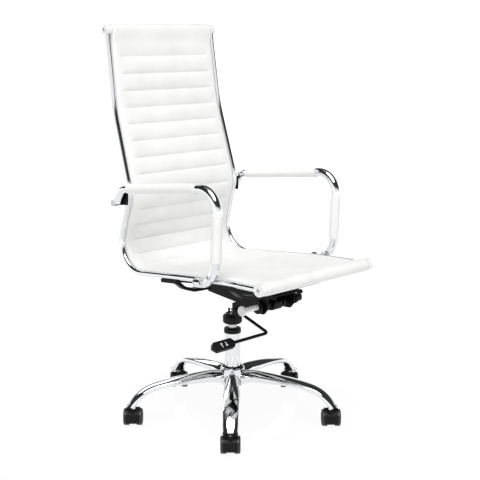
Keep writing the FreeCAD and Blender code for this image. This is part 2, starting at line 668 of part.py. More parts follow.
def make_tilt_lock():
    """Straight rod that slides through a guide on the seat pan, with a sleeve near its tip."""
    direction = Vector(-0.5, math.sqrt(0.75), 0)
    start = Vector(-60, -39, size("lock_height")) - direction * 30
    turn = Rotation(Vector(0, 0, 1), direction)
    rod = cylinder("lock_rod_body", "lock_radius", "lock_length + 30", Placement(start, turn))
    keep(rod, "tilt_lock_rod")
    sleeve_start = start + direction * (30 + size("lock_length") * 0.76)
    outside = cylinder("lock_sleeve_outside", "lock_sleeve_radius", "lock_length * 0.15",
                       Placement(sleeve_start, turn))
    bore = cylinder("lock_sleeve_bore", "lock_radius", "lock_length",
                    Placement(sleeve_start - direction * 20, turn))
    keep(combine("Cut", "lock_sleeve_cut", outside, bore), "tilt_lock_sleeve")


def make_pan():
    """Inverted channel that pivots on the torsion tube and carries the two spreaders."""
    outline = [(48, 404), (46, 427), (-71, 437), (-236, 437), (-236, 426), (-205, 424), (-205, 392),
               (-190, 374), (-160, 372), (-110, 388), (-56, 393)]
    body = padded_outline("pan_body", "YZ_Plane", rounded_path(outline, [2, 5, 30, 3, 0, 0, 14, 10, 20, 20, 0],
                                                              closed=True), "2 * pan_half_width")
    inside = [(70, 300), (70, 424.5), (-71, 434), (-260, 434), (-260, 300)]
    pocket_outline(body, "pan_inside", "YZ_Plane", rounded_path(inside, [0, 0, 30, 0, 0], closed=True),
                   "2 * pan_half_width - 2 * plate")
    direction = Vector(-0.5, math.sqrt(0.75), 0)
    turn = Rotation(Vector(0, 0, 1), direction)
    middle = Vector(-60, -39, size("lock_height"))
    guide = cylinder("pan_guide", "lock_radius + 4", "4 * lock_radius",
                     Placement(middle - direction * 22, turn))
    bore = cylinder("pan_guide_bore", "lock_radius + running_clearance", "lock_length",
                    Placement(middle - direction * 60, turn))
    pivot = cylinder("pan_pivot_bore", "tube_radius + running_clearance", "4 * pan_half_width",
                     along_x(-2 * size("pan_half_width"), size("tilt_axis_rear"), size("tilt_axis_height")))
    solid = fuse_all("pan_solid", [body, guide])
    tools = fuse_all("pan_tools", [bore, pivot])
    keep(combine("Cut", "pan_cut", solid, tools), "seat_pan")


# ---------------------------------------------------------------- spreaders

def make_spreaders():
    """Smile-shaped steel bars from the pan to the flanges under the rails; returns them."""
    reach = size("rail_half_spacing") - size("flange_width") / 2
    front = [(-reach, 483), (-203, 474), (-180, 456), (-140, 445),
             (140, 445), (180, 456), (203, 474), (reach, 483)]
    outline = band_outline(front, [20, 30, 60, 60, 30, 20], 5, 5)
    body = padded_outline("front_spreader_body", "XZ_Plane", outline, "2 * arm_radius",
                          Placement(Vector(0, 0, 213), Rotation()))
    keep(body, "front_spreader")
    pan = size("pan_half_width") + size("edge_gap")
    arms = []
    for side in (-1, 1):
        rear = [(side * pan, 422), (side * 140, 425), (side * 178, 438), (side * 204, 459), (side * reach, 466)]
        arm = padded_outline(f"rear_spreader_arm_{side + 1}", "XZ_Plane",
                             band_outline(rear, [60, 30, 20], 5, 5), "1.5 * arm_radius",
                             Placement(Vector(0, 0, -28), Rotation()))
        arms.append(arm)
    group("rear_spreader", arms)
    return [body] + arms


def rail_height(rear):
    """Height of the rail's centreline over the seat's two runs."""
    run = RAIL_POINTS[:2] if rear < RAIL_POINTS[1][0] else RAIL_POINTS[1:3]
    (rear_0, height_0), (rear_1, height_1) = run
    return height_0 + (height_1 - height_0) * (rear - rear_0) / (rear_1 - rear_0)


def make_side_flanges(spreaders):
    """Four short bars under the rails, notched over the spreaders that are bolted to them."""
    flanges = []
    width, thickness = size("flange_width"), size("flange_height")
    for index, (side, rear, length) in enumerate([(-1, -235, 105), (1, -235, 105), (-1, -5, 70), (1, -5, 70)]):
        low, high = rail_height(rear), rail_height(rear + length)
        slope = math.degrees(math.atan2(high - low, length))
        flange = doc.addObject("Part::Box", f"flange_{index}")
        flange.Length = width
        flange.Width = length
        flange.Height = thickness
        x = side * size("rail_half_spacing") - width / 2
        height = min(low, rail_height(rear + length / 2)) if low < high else low
        below = size("rail_radius") + thickness + 2 * size("edge_gap")
        flange.Placement = Placement(Vector(x, rear, height - below), Rotation(Vector(1, 0, 0), slope))
        notch = fuse_all(f"flange_notch_{index}", spreaders)
        flanges.append(combine("Cut", f"flange_cut_{index}", flange, notch))
    group("side_flanges", flanges)


# ---------------------------------------------------------------- side rails, rolls and sling

def rail_plane(side):
    """The plane of a side rail: upright at the seat and leaning in towards the top."""
    lean = size("rail_lean")
    turn = Rotation(Vector(0, 1, 0), -side * lean)
    pivot = Vector(0, 0, size("rail_reference_height"))
    base = pivot - turn.multVec(pivot)
    return Placement(base + Vector(side * size("rail_half_spacing"), 0, 0), turn)


def rail_x(height):
    """Half the spacing of the rails' centrelines at a height."""
    drop = (height - size("rail_reference_height")) * math.tan(math.radians(size("rail_lean")))
    return size("rail_half_spacing") - drop


def make_rail(side, label):
    """One chromed side rail, notched onto the caps of the front and top rolls."""
    tube = bent_tube(f"{label}_body", RAIL_POINTS, RAIL_BENDS, "rail_radius", "rail_radius - rail_wall")
    tube.Placement = rail_plane(side)
    reach = 60
    notches = []
    ends = [(RAIL_POINTS[0], "front_cap_radius"), (RAIL_POINTS[-1], "top_cap_radius")]
    for index, (point, radius) in enumerate(ends):
        x = side * size("rail_half_spacing") - reach
        notches.append(cylinder(f"{label}_notch_{index}", radius, "8 * top_cap_radius", along_x(x, *point)))
    keep(combine("Cut", f"{label}_cut", tube, fuse_all(f"{label}_notches", notches)), label)


def roll_ends():
    """Each roll: its centre, the expressions for its radius and cap radius."""
    return [("front", RAIL_POINTS[0], "front_roll_radius", "front_cap_radius"),
            ("top", RAIL_POINTS[-1], "top_roll_radius", "top_cap_radius")]


def make_rolls():
    """The rods inside the two rolls, the round caps at their ends and the caps' screws."""
    caps, screws = [], []
    for name, (rear, height), _, cap_radius in roll_ends():
        half = rail_x(height) - size("rail_radius")
        rod = doc.addObject("Part::Cylinder", f"{name}_rod_outside")
        bind(rod, Radius="roll_rod_radius")
        rod.Height = 2 * half
        rod.Placement = along_x(-half, rear, height)
        bore = cylinder(f"{name}_rod_bore", "cap_screw_shank", "4 * rail_half_spacing",
                        along_x(-2 * size("rail_half_spacing"), rear, height))
        keep(combine("Cut", f"{name}_rod_cut", rod, bore), f"{name}_rod")
        width = 2 * size("rail_radius") + 1
        for side in (-1, 1):
            start = half if side > 0 else -half - width
            cap = cylinder(f"{name}_cap_{side + 1}", cap_radius, "2 * rail_radius + 1",
                           along_x(start, rear, height))
            hole = cylinder(f"{name}_cap_hole_{side + 1}", "cap_screw_shank", "8 * rail_radius",
                            along_x(start - 20, rear, height))
            caps.append(combine("Cut", f"{name}_cap_cut_{side + 1}", cap, hole))
            face = half + width
            head, shank = size("cap_screw_head"), 30
            outline = [(0, -shank), (size("cap_screw_shank"), -shank), (size("cap_screw_shank"), 0),
                       (size("cap_screw_radius"), 0), (size("cap_screw_radius"), head), (0, head)]
            screw = turned(f"{name}_screw_{side + 1}", outline, [0, 0, 0, 0, 1.5, 0])
            screw.Placement = Placement(Vector(side * face, rear, height), Rotation(Vector(0, 1, 0), side * 90))
            screws.append(screw)
    group("roll_end_caps", caps)
    group("cap_screws", screws)


def make_sling():
    """The padded seat and back: one band along the rails, closed by a roll at each end."""
    band = padded_outline("sling_band", "YZ_Plane",
                          band_outline(RAIL_POINTS, RAIL_BENDS, size("sling_above"), size("sling_below")),
                          "2 * rail_half_spacing")
    rolls, rods = [], []
    for name, (rear, height), radius, _ in roll_ends():
        reach = size("rail_half_spacing")
        rolls.append(cylinder(f"sling_{name}_roll", radius, "2 * rail_half_spacing",
                              along_x(-reach, rear, height)))
        rods.append(cylinder(f"sling_{name}_bore", "roll_rod_radius", "4 * rail_half_spacing",
                             along_x(-2 * reach, rear, height)))
    solid = fuse_all("sling_solid", [band] + rolls)
    gap = size("rail_radius") + size("edge_gap")
    low, high = 420, 1240
    edges = [(-rail_x(low) + gap, low), (rail_x(low) - gap, low), (rail_x(high) - gap, high),
             (-rail_x(high) + gap, high)]
    width = padded_outline("sling_width", "XZ_Plane", rounded_path(edges, [0] * 4, closed=True),
                           "4 * rail_half_spacing")
    trimmed = combine("Common", "sling_trimmed", solid, width)
    keep(combine("Cut", "sling_cut", trimmed, fuse_all("sling_bores", rods)), "sling")


# ---------------------------------------------------------------- arms

def stretch(points, start, end):
    """A straight stretch of the arm's centreline between two fractions of a run."""
    (rear_0, height_0), (rear_1, height_1) = points
    def at(fraction):
        return Vector(0, rear_0 + (rear_1 - rear_0) * fraction, height_0 + (height_1 - height_0) * fraction)
    return at(start), at(end)


def make_arm(side, label):
    """One chromed arm loop with its two white sleeves."""
    x = side * size("arm_x")
    tube = bent_tube(f"arm_tube_{label}_body", ARM_POINTS, ARM_BENDS, "arm_radius",
                     "arm_radius - arm_wall")
    tube.Placement = Placement(Vector(x, 0, 0), Rotation())
    bar = cylinder(f"arm_tube_{label}_bar", "cross_bar_radius", "4 * cross_bar_half_length",
                   along_x(-2 * size("cross_bar_half_length"), size("cross_bar_rear"), size("cross_bar_height")))
    cap_start = size("cross_bar_half_length") if side > 0 else -2 * size("cross_bar_half_length")
    cap_room = cylinder(f"arm_tube_{label}_cap_room", "cross_bar_radius + 1", "cross_bar_half_length",
                        along_x(cap_start, size("cross_bar_rear"), size("cross_bar_height")))
    tools = [bar, cap_room] + [cylinder(f"arm_tube_{label}_bolt_{index}", "arm_bolt_shank", "4 * arm_radius",
                              along_x(x - 2 * size("arm_radius"), *place))
                     for index, place in enumerate(bolt_places())]
    keep(combine("Cut", f"arm_tube_{label}_cut", tube, fuse_all(f"arm_tube_{label}_tools", tools)),
         f"arm_tube_{label}")
    runs = [stretch(ARM_POINTS[1:3], 0.24, 0.735), stretch(ARM_POINTS[2:4], 0.20, 0.925)]
    sleeves = []
    for index, (start, end) in enumerate(runs):
        turn = Rotation(Vector(0, 0, 1), end - start)
        place = Placement(start + Vector(x, 0, 0), turn)
        outside = doc.addObject("Part::Cylinder", f"sleeve_{label}_{index}_outside")
        bind(outside, Radius="sleeve_radius")
        outside.Height = (end - start).Length
        outside.Placement = place
        bore = cylinder(f"sleeve_{label}_{index}_bore", "arm_radius + running_clearance",
                        "4 * cross_bar_half_length",
                        place.multiply(Placement(Vector(0, 0, -10), Rotation())))
        sleeves.append(combine("Cut", f"sleeve_{label}_{index}_cut", outside, bore))
    group(f"arm_sleeves_{label}", sleeves)


def bolt_places():
    """Rear and height of the two bolts that hold each arm's foot to its rail."""
    return [(-140, 495), (-172, 515)]


def make_arm_details():
    """Foot caps, bolts, gussets and the cross bar with its caps."""
    caps, bolts, gussets, bar_caps = [], [], [], []
    (foot_rear, foot_height), (next_rear, next_height) = ARM_POINTS[:2]
    foot = Vector(0, foot_rear - next_rear, foot_height - next_height)
    inner_face = size("arm_x") - size("arm_radius")
    for side in (-1, 1):
        x = side * size("arm_x")
        caps.append(cylinder(f"foot_cap_{side + 1}", "arm_radius + 0.7", "foot_cap_width",
                             Placement(Vector(x, foot_rear, foot_height), Rotation(Vector(0, 0, 1), foot))))
        for index, (rear, height) in enumerate(bolt_places()):
            shank = 2 * size("arm_radius") + 1
            head = 3.5
            outline = [(0, -shank), (size("arm_bolt_shank"), -shank), (size("arm_bolt_shank"), 0),
                       (size("arm_bolt_head"), 0), (size("arm_bolt_head"), head), (0, head)]
            bolt = turned(f"arm_bolt_{side + 1}_{index}", outline, [0, 0, 0, 0, 2.5, 0])
            bolt.Placement = Placement(Vector(side * (size("arm_x") + size("arm_radius")), rear, height),
                                       Rotation(Vector(0, 1, 0), side * 90))
            bolts.append(bolt)
        outline = [(211, 671), (258, 667), (256, 686), (238, 704), (216, 714), (211, 714)]
        thickness = inner_face - rail_x(700) - size("rail_radius") - 2 * size("gusset_gap")
        plate = padded_outline(f"gusset_plate_{side + 1}", "YZ_Plane",
                               rounded_path(outline, [2, 2, 6, 10, 2, 2], closed=True), "plate + 1.4")
        middle = inner_face - size("gusset_gap") - thickness / 2
        plate.Placement = Placement(Vector(side * middle, 0, 0), Rotation())
        hole = cylinder(f"gusset_hole_{side + 1}", "cross_bar_radius", "4 * cross_bar_half_length",
                        along_x(-2 * size("cross_bar_half_length"), size("cross_bar_rear"),
                                size("cross_bar_height")))
        gussets.append(combine("Cut", f"gusset_cut_{side + 1}", plate, hole))
        half_length, cap_length = size("cross_bar_half_length"), size("cross_bar_cap")
        start = half_length if side > 0 else -half_length - cap_length
        bar_caps.append(cylinder(f"bar_cap_{side + 1}", "cross_bar_radius + 1", "cross_bar_cap",
                                 along_x(start, size("cross_bar_rear"), size("cross_bar_height"))))
    group("arm_foot_caps", caps)
    group("arm_bolts", bolts)
    group("arm_gussets", gussets)
    group("cross_bar_caps", bar_caps)
    keep(cylinder("cross_bar_body", "cross_bar_radius", "2 * cross_bar_half_length",
                  along_x(-size("cross_bar_half_length"), size("cross_bar_rear"), size("cross_bar_height"))),
         "back_cross_bar")


# ---------------------------------------------------------------- assembly

make_hub()
make_hub_ring()
plugs, stems = [], []
for leg, leg_angle in enumerate(leg_angles(), start=1):
    make_leg(leg, leg_angle)
    plugs.append(make_leg_plug(leg, leg_angle))
    stems.append(make_stem(leg, leg_angle))
    make_caster_housing(leg, leg_angle)
    make_caster_wheels(leg, leg_angle)
group("leg_end_plugs", plugs)
group("caster_stems", stems)
make_column()
make_housing()
make_tilt_unit()
make_tension_knob()
make_height_lever()
make_tilt_lock()
make_pan()
make_side_flanges(make_spreaders())
make_rail(-1, "rail_right")
make_rail(1, "rail_left")
make_rolls()
make_sling()
make_arm(-1, "right")
make_arm(1, "left")
make_arm_details()
doc.recompute()

for item in doc.Objects:
    if "Invalid" in item.State or "Error" in item.State:
        raise RuntimeError(f"{item.Label} failed: {item.State}")

for part in parts:
    shape = part.Shape
    if shape.isNull() or not shape.isValid() or not shape.Solids:
        raise RuntimeError(f"{part.Label} has no valid shape")
    print(f"{part.Label:24s} solids {len(shape.Solids)}  volume {shape.Volume / 1000:9.1f} cm3")

os.makedirs("parts", exist_ok=True)
for part in parts:
    part.Shape.exportStep(f"parts/{part.Label}.step")
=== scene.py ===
"""Looks of a swivel office chair: a ribbed white sling on chromed rails, dressed over its CAD frame."""

import json
import math

import bmesh
import bpy
import numpy as np
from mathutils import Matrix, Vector, kdtree


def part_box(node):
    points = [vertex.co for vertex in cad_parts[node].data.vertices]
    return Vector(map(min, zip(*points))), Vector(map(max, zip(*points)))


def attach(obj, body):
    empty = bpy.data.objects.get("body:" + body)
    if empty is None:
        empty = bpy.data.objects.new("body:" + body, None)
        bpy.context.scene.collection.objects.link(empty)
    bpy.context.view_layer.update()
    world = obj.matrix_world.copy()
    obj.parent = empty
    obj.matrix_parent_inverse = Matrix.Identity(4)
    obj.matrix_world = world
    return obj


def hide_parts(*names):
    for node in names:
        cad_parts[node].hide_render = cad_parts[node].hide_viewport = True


bl_info = {
    "name": "Swivel Office Chair",
    "version": (1, 0, 0),
    "blender": (4, 5, 0),
    "location": "3D View > Sidebar > Chair",
    "description": "Builds the sling, sleeves, fasteners, finishes and studio of a swivel office chair",
    "category": "Object",
}

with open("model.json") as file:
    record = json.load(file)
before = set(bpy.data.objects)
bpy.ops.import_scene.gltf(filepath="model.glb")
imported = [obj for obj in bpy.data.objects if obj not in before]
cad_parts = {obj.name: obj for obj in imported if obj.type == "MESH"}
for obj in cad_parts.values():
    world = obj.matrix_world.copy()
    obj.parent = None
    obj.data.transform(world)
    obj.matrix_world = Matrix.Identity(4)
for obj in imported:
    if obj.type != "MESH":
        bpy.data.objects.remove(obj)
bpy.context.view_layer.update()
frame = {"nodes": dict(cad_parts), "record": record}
MM = 0.001

# All sizes below are in mm, unless a name says otherwise.
# Side rail centreline, seat front to head, as (rear, height) corners, and the radius of each bend.
RAIL_CORNERS = np.array([(-338, 503), (-185, 500), (287, 458), (213, 709), (287, 955), (319, 1188)], float)
RAIL_BENDS = (1500, 88, 110, 420)
# The rails' centrelines stand this far each side of the middle at one height, and lean in above it.
RAIL_X = 226
RAIL_X_HEIGHT = 490
RAIL_LEAN = math.radians(1.15)
# Cover: from the rails' plane to its faces, radius of its rolls, gap from a rail's centreline to its edge.
UPPER_FACE = 11.0
LOWER_FACE = 7.5
FRONT_ROLL = 19.5
TOP_ROLL = 18.0
RAIL_GAP = 9.6
# Share of the full puff that the cover has where no seams are, and half the width of a seam's valley.
PLAIN_SHARE = 0.8
SEAM_HALF_WIDTH = 2.2
# The cloth simulation's length in frames, and how far a point of the cover may move in it.
CLOTH_FRAMES = 20
SWELL_LIMIT = 3.5
# Arm loop centreline at one side of the seat, foot to rear end, and its distance from the middle.
ARM_CORNERS = np.array([(-112, 490), (-186, 493), (-199, 764), (214, 722), (243, 680)], float)
ARM_X = 250
SLEEVE_RADIUS = 15.6
SLEEVE_BORE = 13.35
# The arm bolts as (rear, height), reach of a cap screw's face from its rail, and width of every socket's
# painted shade.
ARM_BOLTS = ((-140, 495), (-172, 515))
CAP_SCREW_REACH = 12.4
SOCKET_WIDTH = 5.0
# Camera: place in metres, heading from the chair's rear axis, downward tip and lens.
CAMERA_PLACE = (-2.1971, -2.2330, 1.1813)
CAMERA_HEADING = math.radians(-44.96)
CAMERA_TIP = math.radians(11.20)
CAMERA_LENS = 78.8


# ---------------------------------------------------------------- sizes and colours

class ChairSizes(bpy.types.PropertyGroup):
    """Sizes of the soft cover and its sewing."""

    rib_pitch: bpy.props.FloatProperty(
        name="Rib pitch", description="Distance between two sewn seams", default=51.8 * MM, unit="LENGTH")
    head_panel: bpy.props.FloatProperty(
        name="Head panel", description="Plain length from the top roll to the first seam",
        default=82 * MM, unit="LENGTH")
    rib_count: bpy.props.IntProperty(
        name="Seams", description="Number of sewn seams", default=14, min=2)
    border: bpy.props.FloatProperty(
        name="Border", description="Plain strip between the seams' ends and the side edge",
        default=27 * MM, unit="LENGTH")
    puff: bpy.props.FloatProperty(
        name="Puff", description="How far a rib stands out between its seams",
        default=2.6 * MM, unit="LENGTH")
    seam_depth: bpy.props.FloatProperty(
        name="Seam depth", description="How far a seam draws the cover in",
        default=2.4 * MM, unit="LENGTH")
    stitch_pitch: bpy.props.FloatProperty(
        name="Stitch pitch", description="Distance between two stitches", default=4.4 * MM, unit="LENGTH")


class ChairColours(bpy.types.PropertyGroup):
    """Colours as sRGB hex values."""

    leather: bpy.props.StringProperty(
        name="Leather", description="Coated leather cloth of the sling", default="#EFEFEE")
    leather_shade: bpy.props.StringProperty(
        name="Leather shade", description="Its slightly darker patches", default="#E8E8E7")
    chrome: bpy.props.StringProperty(name="Chrome", description="Chrome plate", default="#E6E8EA")
    steel: bpy.props.StringProperty(name="Steel", description="Ground steel", default="#C4C5C7")
    black: bpy.props.StringProperty(name="Black", description="Powder coat and nylon", default="#070708")
    thread: bpy.props.StringProperty(name="Thread", description="Sewing thread", default="#E9E8E4")
    floor: bpy.props.StringProperty(name="Floor", description="Studio floor", default="#4A4A4A")


def sizes():
    """The scene's sizes."""
    return bpy.context.scene.chair_sizes


def colour(name):
    """One of the scene's colours, as linear RGBA."""
    return linear(getattr(bpy.context.scene.chair_colours, name))


def linear(hex_value):
    """sRGB hex to linear RGBA: c / 12.92 below 0.04045, else ((c + 0.055) / 1.055) to the power 2.4."""
    channels = np.array([int(hex_value[i:i + 2], 16) for i in (1, 3, 5)]) / 255
    curved = np.where(channels <= 0.04045, channels / 12.92, ((channels + 0.055) / 1.055) ** 2.4)
    return (*curved.tolist(), 1.0)


# ---------------------------------------------------------------- mesh helpers

def smooth(t):
    """Smoothstep: 3t^2 - 2t^3 of t held between 0 and 1."""
    t = np.clip(t, 0, 1)
    return t * t * (3 - 2 * t)


def grid_faces(rows, columns, wrap_rows=False, wrap_columns=False):
    """Quads of a rows x columns grid of points, wrapped round in either direction."""
    last_row = rows if wrap_rows else rows - 1
    last_column = columns if wrap_columns else columns - 1
    i, j = np.meshgrid(np.arange(last_row), np.arange(last_column), indexing="ij")
    below, right = (i + 1) % rows, (j + 1) % columns
    quads = np.stack([i * columns + j, i * columns + right, below * columns + right, below * columns + j], -1)
    return quads.reshape(-1, 4)


def new_piece(name, points, faces, material, weld=1e-5):
    """A smooth-shaded mesh object from arrays, in metres, with its doubles merged and normals outward."""
    mesh = bpy.data.meshes.new(name)
    mesh.from_pydata(points.reshape(-1, 3).tolist(), [], faces.tolist())
    mesh.polygons.foreach_set("use_smooth", np.ones(len(mesh.polygons), bool))
    mesh.update()
    piece = bpy.data.objects.new(name, mesh)
    bpy.context.scene.collection.objects.link(piece)
    work = bmesh.new()
    work.from_mesh(mesh)
    bmesh.ops.remove_doubles(work, verts=work.verts, dist=weld)
    bmesh.ops.recalc_face_normals(work, faces=work.faces)
    work.to_mesh(mesh)
    work.free()
    mesh.materials.append(material)
    return piece


def stack(parts):
    """Joins (points, faces) pairs into one."""
    points, faces, start = [], [], 0
    for part_points, part_faces in parts:
        flat = part_points.reshape(-1, 3)
        points.append(flat)
        faces.append(part_faces + start)
        start += len(flat)
    return np.concatenate(points), np.concatenate(faces)


def rounded_line(corners, bends, step):
    """Straight runs joined by tangent arcs, about `step` apart: points, lengths and unit tangents."""
    points = []
    start = corners[0]
    for index in range(1, len(corners) - 1):
        before = corners[index - 1] - corners[index]
        after = corners[index + 1] - corners[index]
        before /= np.linalg.norm(before)
        after /= np.linalg.norm(after)
        half = math.acos(np.clip(before @ after, -1, 1)) / 2
        radius = bends[index - 1]
        reach = radius / math.tan(half)
        bisector = (before + after) / np.linalg.norm(before + after)
        centre = corners[index] + bisector * radius / math.sin(half)
        first, last = corners[index] + before * reach, corners[index] + after * reach
        steps = max(2, int(np.linalg.norm(first - start) / step))
        points.append(start + (first - start) * np.linspace(0, 1, steps, endpoint=False)[:, None])
        turn = math.pi - 2 * half
        steps = max(4, int(radius * turn / step))
        angle = np.linspace(0, 1, steps, endpoint=False)[:, None] * turn
        points.append(centre + (first - centre) * np.cos(angle) - before * radius * np.sin(angle))
        start = last
    steps = max(2, int(np.linalg.norm(corners[-1] - start) / step))
    points.append(start + (corners[-1] - start) * np.linspace(0, 1, steps + 1)[:, None])
    line = np.concatenate(points)
    length = np.concatenate([[0], np.cumsum(np.linalg.norm(np.diff(line, axis=0), axis=1))])
    tangent = np.gradient(line, length, axis=0)
    tangent /= np.linalg.norm(tangent, axis=1)[:, None]
    return line, length, tangent


def along(line, length, tangent, where):
    """Place and tangent of a rounded line at given lengths from its start."""
    place = np.stack([np.interp(where, length, line[:, axis]) for axis in (0, 1)], -1)
    heading = np.stack([np.interp(where, length, tangent[:, axis]) for axis in (0, 1)], -1)
    return place, heading / np.linalg.norm(heading, axis=-1, keepdims=True)


# ---------------------------------------------------------------- materials

def add_node(tree, kind, values=None, links=None):
    """Adds a node, sets its sockets or properties from `values` and joins `links` to its sockets."""
    node = tree.nodes.new(kind)
    for key, value in (values or {}).items():
        if key in node.inputs:
            node.inputs[key].default_value = value
        else:
            setattr(node, key, value)
    for key, source in (links or {}).items():
        tree.links.new(source, node.inputs[key])
    return node


def new_material(name, values):
    """A material with one Principled shader; returns it, its tree, the shader and Object coordinates."""
    material = bpy.data.materials.new(name)
    material.use_nodes = True
    tree = material.node_tree
    tree.nodes.clear()
    shader = add_node(tree, "ShaderNodeBsdfPrincipled", values)
    add_node(tree, "ShaderNodeOutputMaterial", links={"Surface": shader.outputs["BSDF"]})
    place = add_node(tree, "ShaderNodeTexCoord").outputs["Object"]
    return material, tree, shader, place


def grain(tree, place, size_mm, detail=2.0, distortion=0.0):
    """Noise whose features are about size_mm across."""
    return add_node(tree, "ShaderNodeTexNoise", {"Scale": 1000 / size_mm, "Detail": detail,
                                                 "Distortion": distortion}, {"Vector": place}).outputs["Fac"]


def spread(tree, source, low, high):
    """Maps 0.3..0.7 of a pattern, where most of a noise lies, to low..high."""
    limits = {"From Min": 0.3, "From Max": 0.7, "To Min": low, "To Max": high}
    return add_node(tree, "ShaderNodeMapRange", limits, {"Value": source}).outputs["Result"]


def bumps(tree, shader, layers):
    """Stacks bump layers of (pattern, height in mm, strength) on a shader's normal."""
    normal = None
    for pattern, height, strength in layers:
        links = {"Height": pattern}
        if normal:
            links["Normal"] = normal
        bump = add_node(tree, "ShaderNodeBump", {"Distance": height * MM, "Strength": strength}, links)
        normal = bump.outputs["Normal"]
    tree.links.new(normal, shader.inputs["Normal"])


def blend_colours(tree, shader, pattern, first, second):
    """Base colour that drifts between two colours with a pattern."""
    mix = add_node(tree, "ShaderNodeMix", {"data_type": "RGBA"})
    mix.inputs[6].default_value = first
    mix.inputs[7].default_value = second
    tree.links.new(pattern, mix.inputs[0])
    tree.links.new(mix.outputs[2], shader.inputs["Base Color"])


def coated_leather_cloth():
    """Polyurethane-coated cloth, embossed: a fine pebble grain, soft creases and a low satin sheen."""
    material, tree, shader, place = new_material("coated_leather_cloth", {
        "IOR": 1.5, "Specular IOR Level": 0.45, "Sheen Weight": 0.08, "Sheen Roughness": 0.5})
    # Pebbles are about 0.9 mm on the real cloth; drawn at 1.8 mm so that they show.
    cells = {"feature": "SMOOTH_F1", "Scale": 1000 / 1.8, "Smoothness": 0.6}
    pebble = add_node(tree, "ShaderNodeTexVoronoi", cells, {"Vector": place}).outputs["Distance"]
    pores = grain(tree, place, 0.9, 3)
    creases = grain(tree, place, 45, 3, 0.6)
    bumps(tree, shader, [(creases, 1.2, 0.35), (pebble, 0.18, 0.35), (pores, 0.06, 0.3)])
    blend_colours(tree, shader, spread(tree, grain(tree, place, 70, 2), 0, 1), colour("leather"),
                  colour("leather_shade"))
    tree.links.new(spread(tree, pores, 0.38, 0.48), shader.inputs["Roughness"])
    return material


def sewing_thread():
    """Bonded polyester thread, twisted: matt with a fine diagonal ply."""
    material, tree, shader, place = new_material("sewing_thread", {"Roughness": 0.7, "IOR": 1.5})
    ply = grain(tree, place, 0.5, 2)
    bumps(tree, shader, [(ply, 0.08, 0.5)])
    blend_colours(tree, shader, ply, colour("thread"), colour("leather_shade"))
    return material


def chrome_plate():
    """Chrome plated and buffed steel: a clear mirror with the faintest waviness and buffing haze."""
    material, tree, shader, place = new_material("chrome_plate", {
        "Base Color": colour("chrome"), "Metallic": 1.0})
    haze = grain(tree, place, 14, 3)
    tree.links.new(spread(tree, haze, 0.035, 0.085), shader.inputs["Roughness"])
    bumps(tree, shader, [(grain(tree, place, 60, 1), 0.12, 0.05)])
    return material


def ground_steel():
    """Steel ground and lightly polished: grey, with fine turning marks."""
    material, tree, shader, place = new_material("ground_steel", {
        "Base Color": colour("steel"), "Metallic": 1.0})
    squeezed = add_node(tree, "ShaderNodeMapping", {"Scale": (1, 1, 12)}, {"Vector": place})
    marks = grain(tree, squeezed.outputs["Vector"], 6, 3)
    tree.links.new(spread(tree, marks, 0.18, 0.32), shader.inputs["Roughness"])
    bumps(tree, shader, [(marks, 0.03, 0.2)])
    return material


def powder_coat():
    """Black polyester powder coat, baked: satin, with the fine orange peel of melted powder."""
    material, tree, shader, place = new_material("powder_coat", {
        "Base Color": colour("black"), "IOR": 1.5, "Specular IOR Level": 0.16})
    # Orange peel is about 1 mm on the real coat; drawn at 1.6 mm so that it shows.
    peel = grain(tree, place, 1.6, 2)
    tree.links.new(spread(tree, grain(tree, place, 22, 3), 0.34, 0.5), shader.inputs["Roughness"])
    bumps(tree, shader, [(peel, 0.1, 0.35)])
    return material


def moulded_nylon():
    """Black glass-filled nylon, injection moulded: matt, with a spark-eroded mould texture."""
    material, tree, shader, place = new_material("moulded_nylon", {
        "Base Color": colour("black"), "IOR": 1.53, "Specular IOR Level": 0.2})
    # The mould texture is about 0.3 mm; drawn at 1.0 mm so that it shows.
    texture = grain(tree, place, 1.0, 3)
    tree.links.new(spread(tree, grain(tree, place, 15, 2), 0.42, 0.58), shader.inputs["Roughness"])
    bumps(tree, shader, [(texture, 0.08, 0.35)])
    return material


def tread_nylon():
    """Black nylon of the wheels: moulded smooth, scuffed by rolling."""
    material, tree, shader, place = new_material("tread_nylon", {
        "Base Color": linear("#1C1C1E"), "IOR": 1.53})
    scuffs = grain(tree, place, 2.5, 4, 0.8)
    tree.links.new(spread(tree, scuffs, 0.28, 0.55), shader.inputs["Roughness"])
    bumps(tree, shader, [(scuffs, 0.04, 0.3)])
    return material


def white_nylon():
    """White nylon, moulded: smooth and slightly glossy."""
    material, tree, shader, place = new_material("white_nylon", {
        "Base Color": linear("#EDEDED"), "IOR": 1.53, "Coat Weight": 0.2})
    tree.links.new(spread(tree, grain(tree, place, 8, 2), 0.18, 0.3), shader.inputs["Roughness"])
    bumps(tree, shader, [(grain(tree, place, 2, 2), 0.03, 0.2)])
    return material


def black_rubber():
    """Black vulcanised rubber: dull, with a dusty bloom."""
    material, tree, shader, place = new_material("black_rubber", {
        "Base Color": linear("#1A1A1A"), "Roughness": 0.8, "IOR": 1.52})
    bumps(tree, shader, [(grain(tree, place, 1.2, 3), 0.1, 0.4)])
    return material


FINISHES = {
    "chrome": chrome_plate,
    "black_plastic": moulded_nylon,
    "wheel": tread_nylon,
    "black_steel": powder_coat,
    "bright_steel": ground_steel,
    "white_plastic": white_nylon,
    "white_leather": coated_leather_cloth,
    "white_sleeve": coated_leather_cloth,
    "rubber": black_rubber,
}
made = {}


def finish(maker):
    """The material that a function makes, made once and then shared."""
    if maker not in made:
        made[maker] = maker()
    return made[maker]


# ---------------------------------------------------------------- sling

def rail_half_spacing(height):
    """Half the distance between the rails at a height: x less height times the lean's tangent."""
    return RAIL_X - (height - RAIL_X_HEIGHT) * math.tan(RAIL_LEAN)


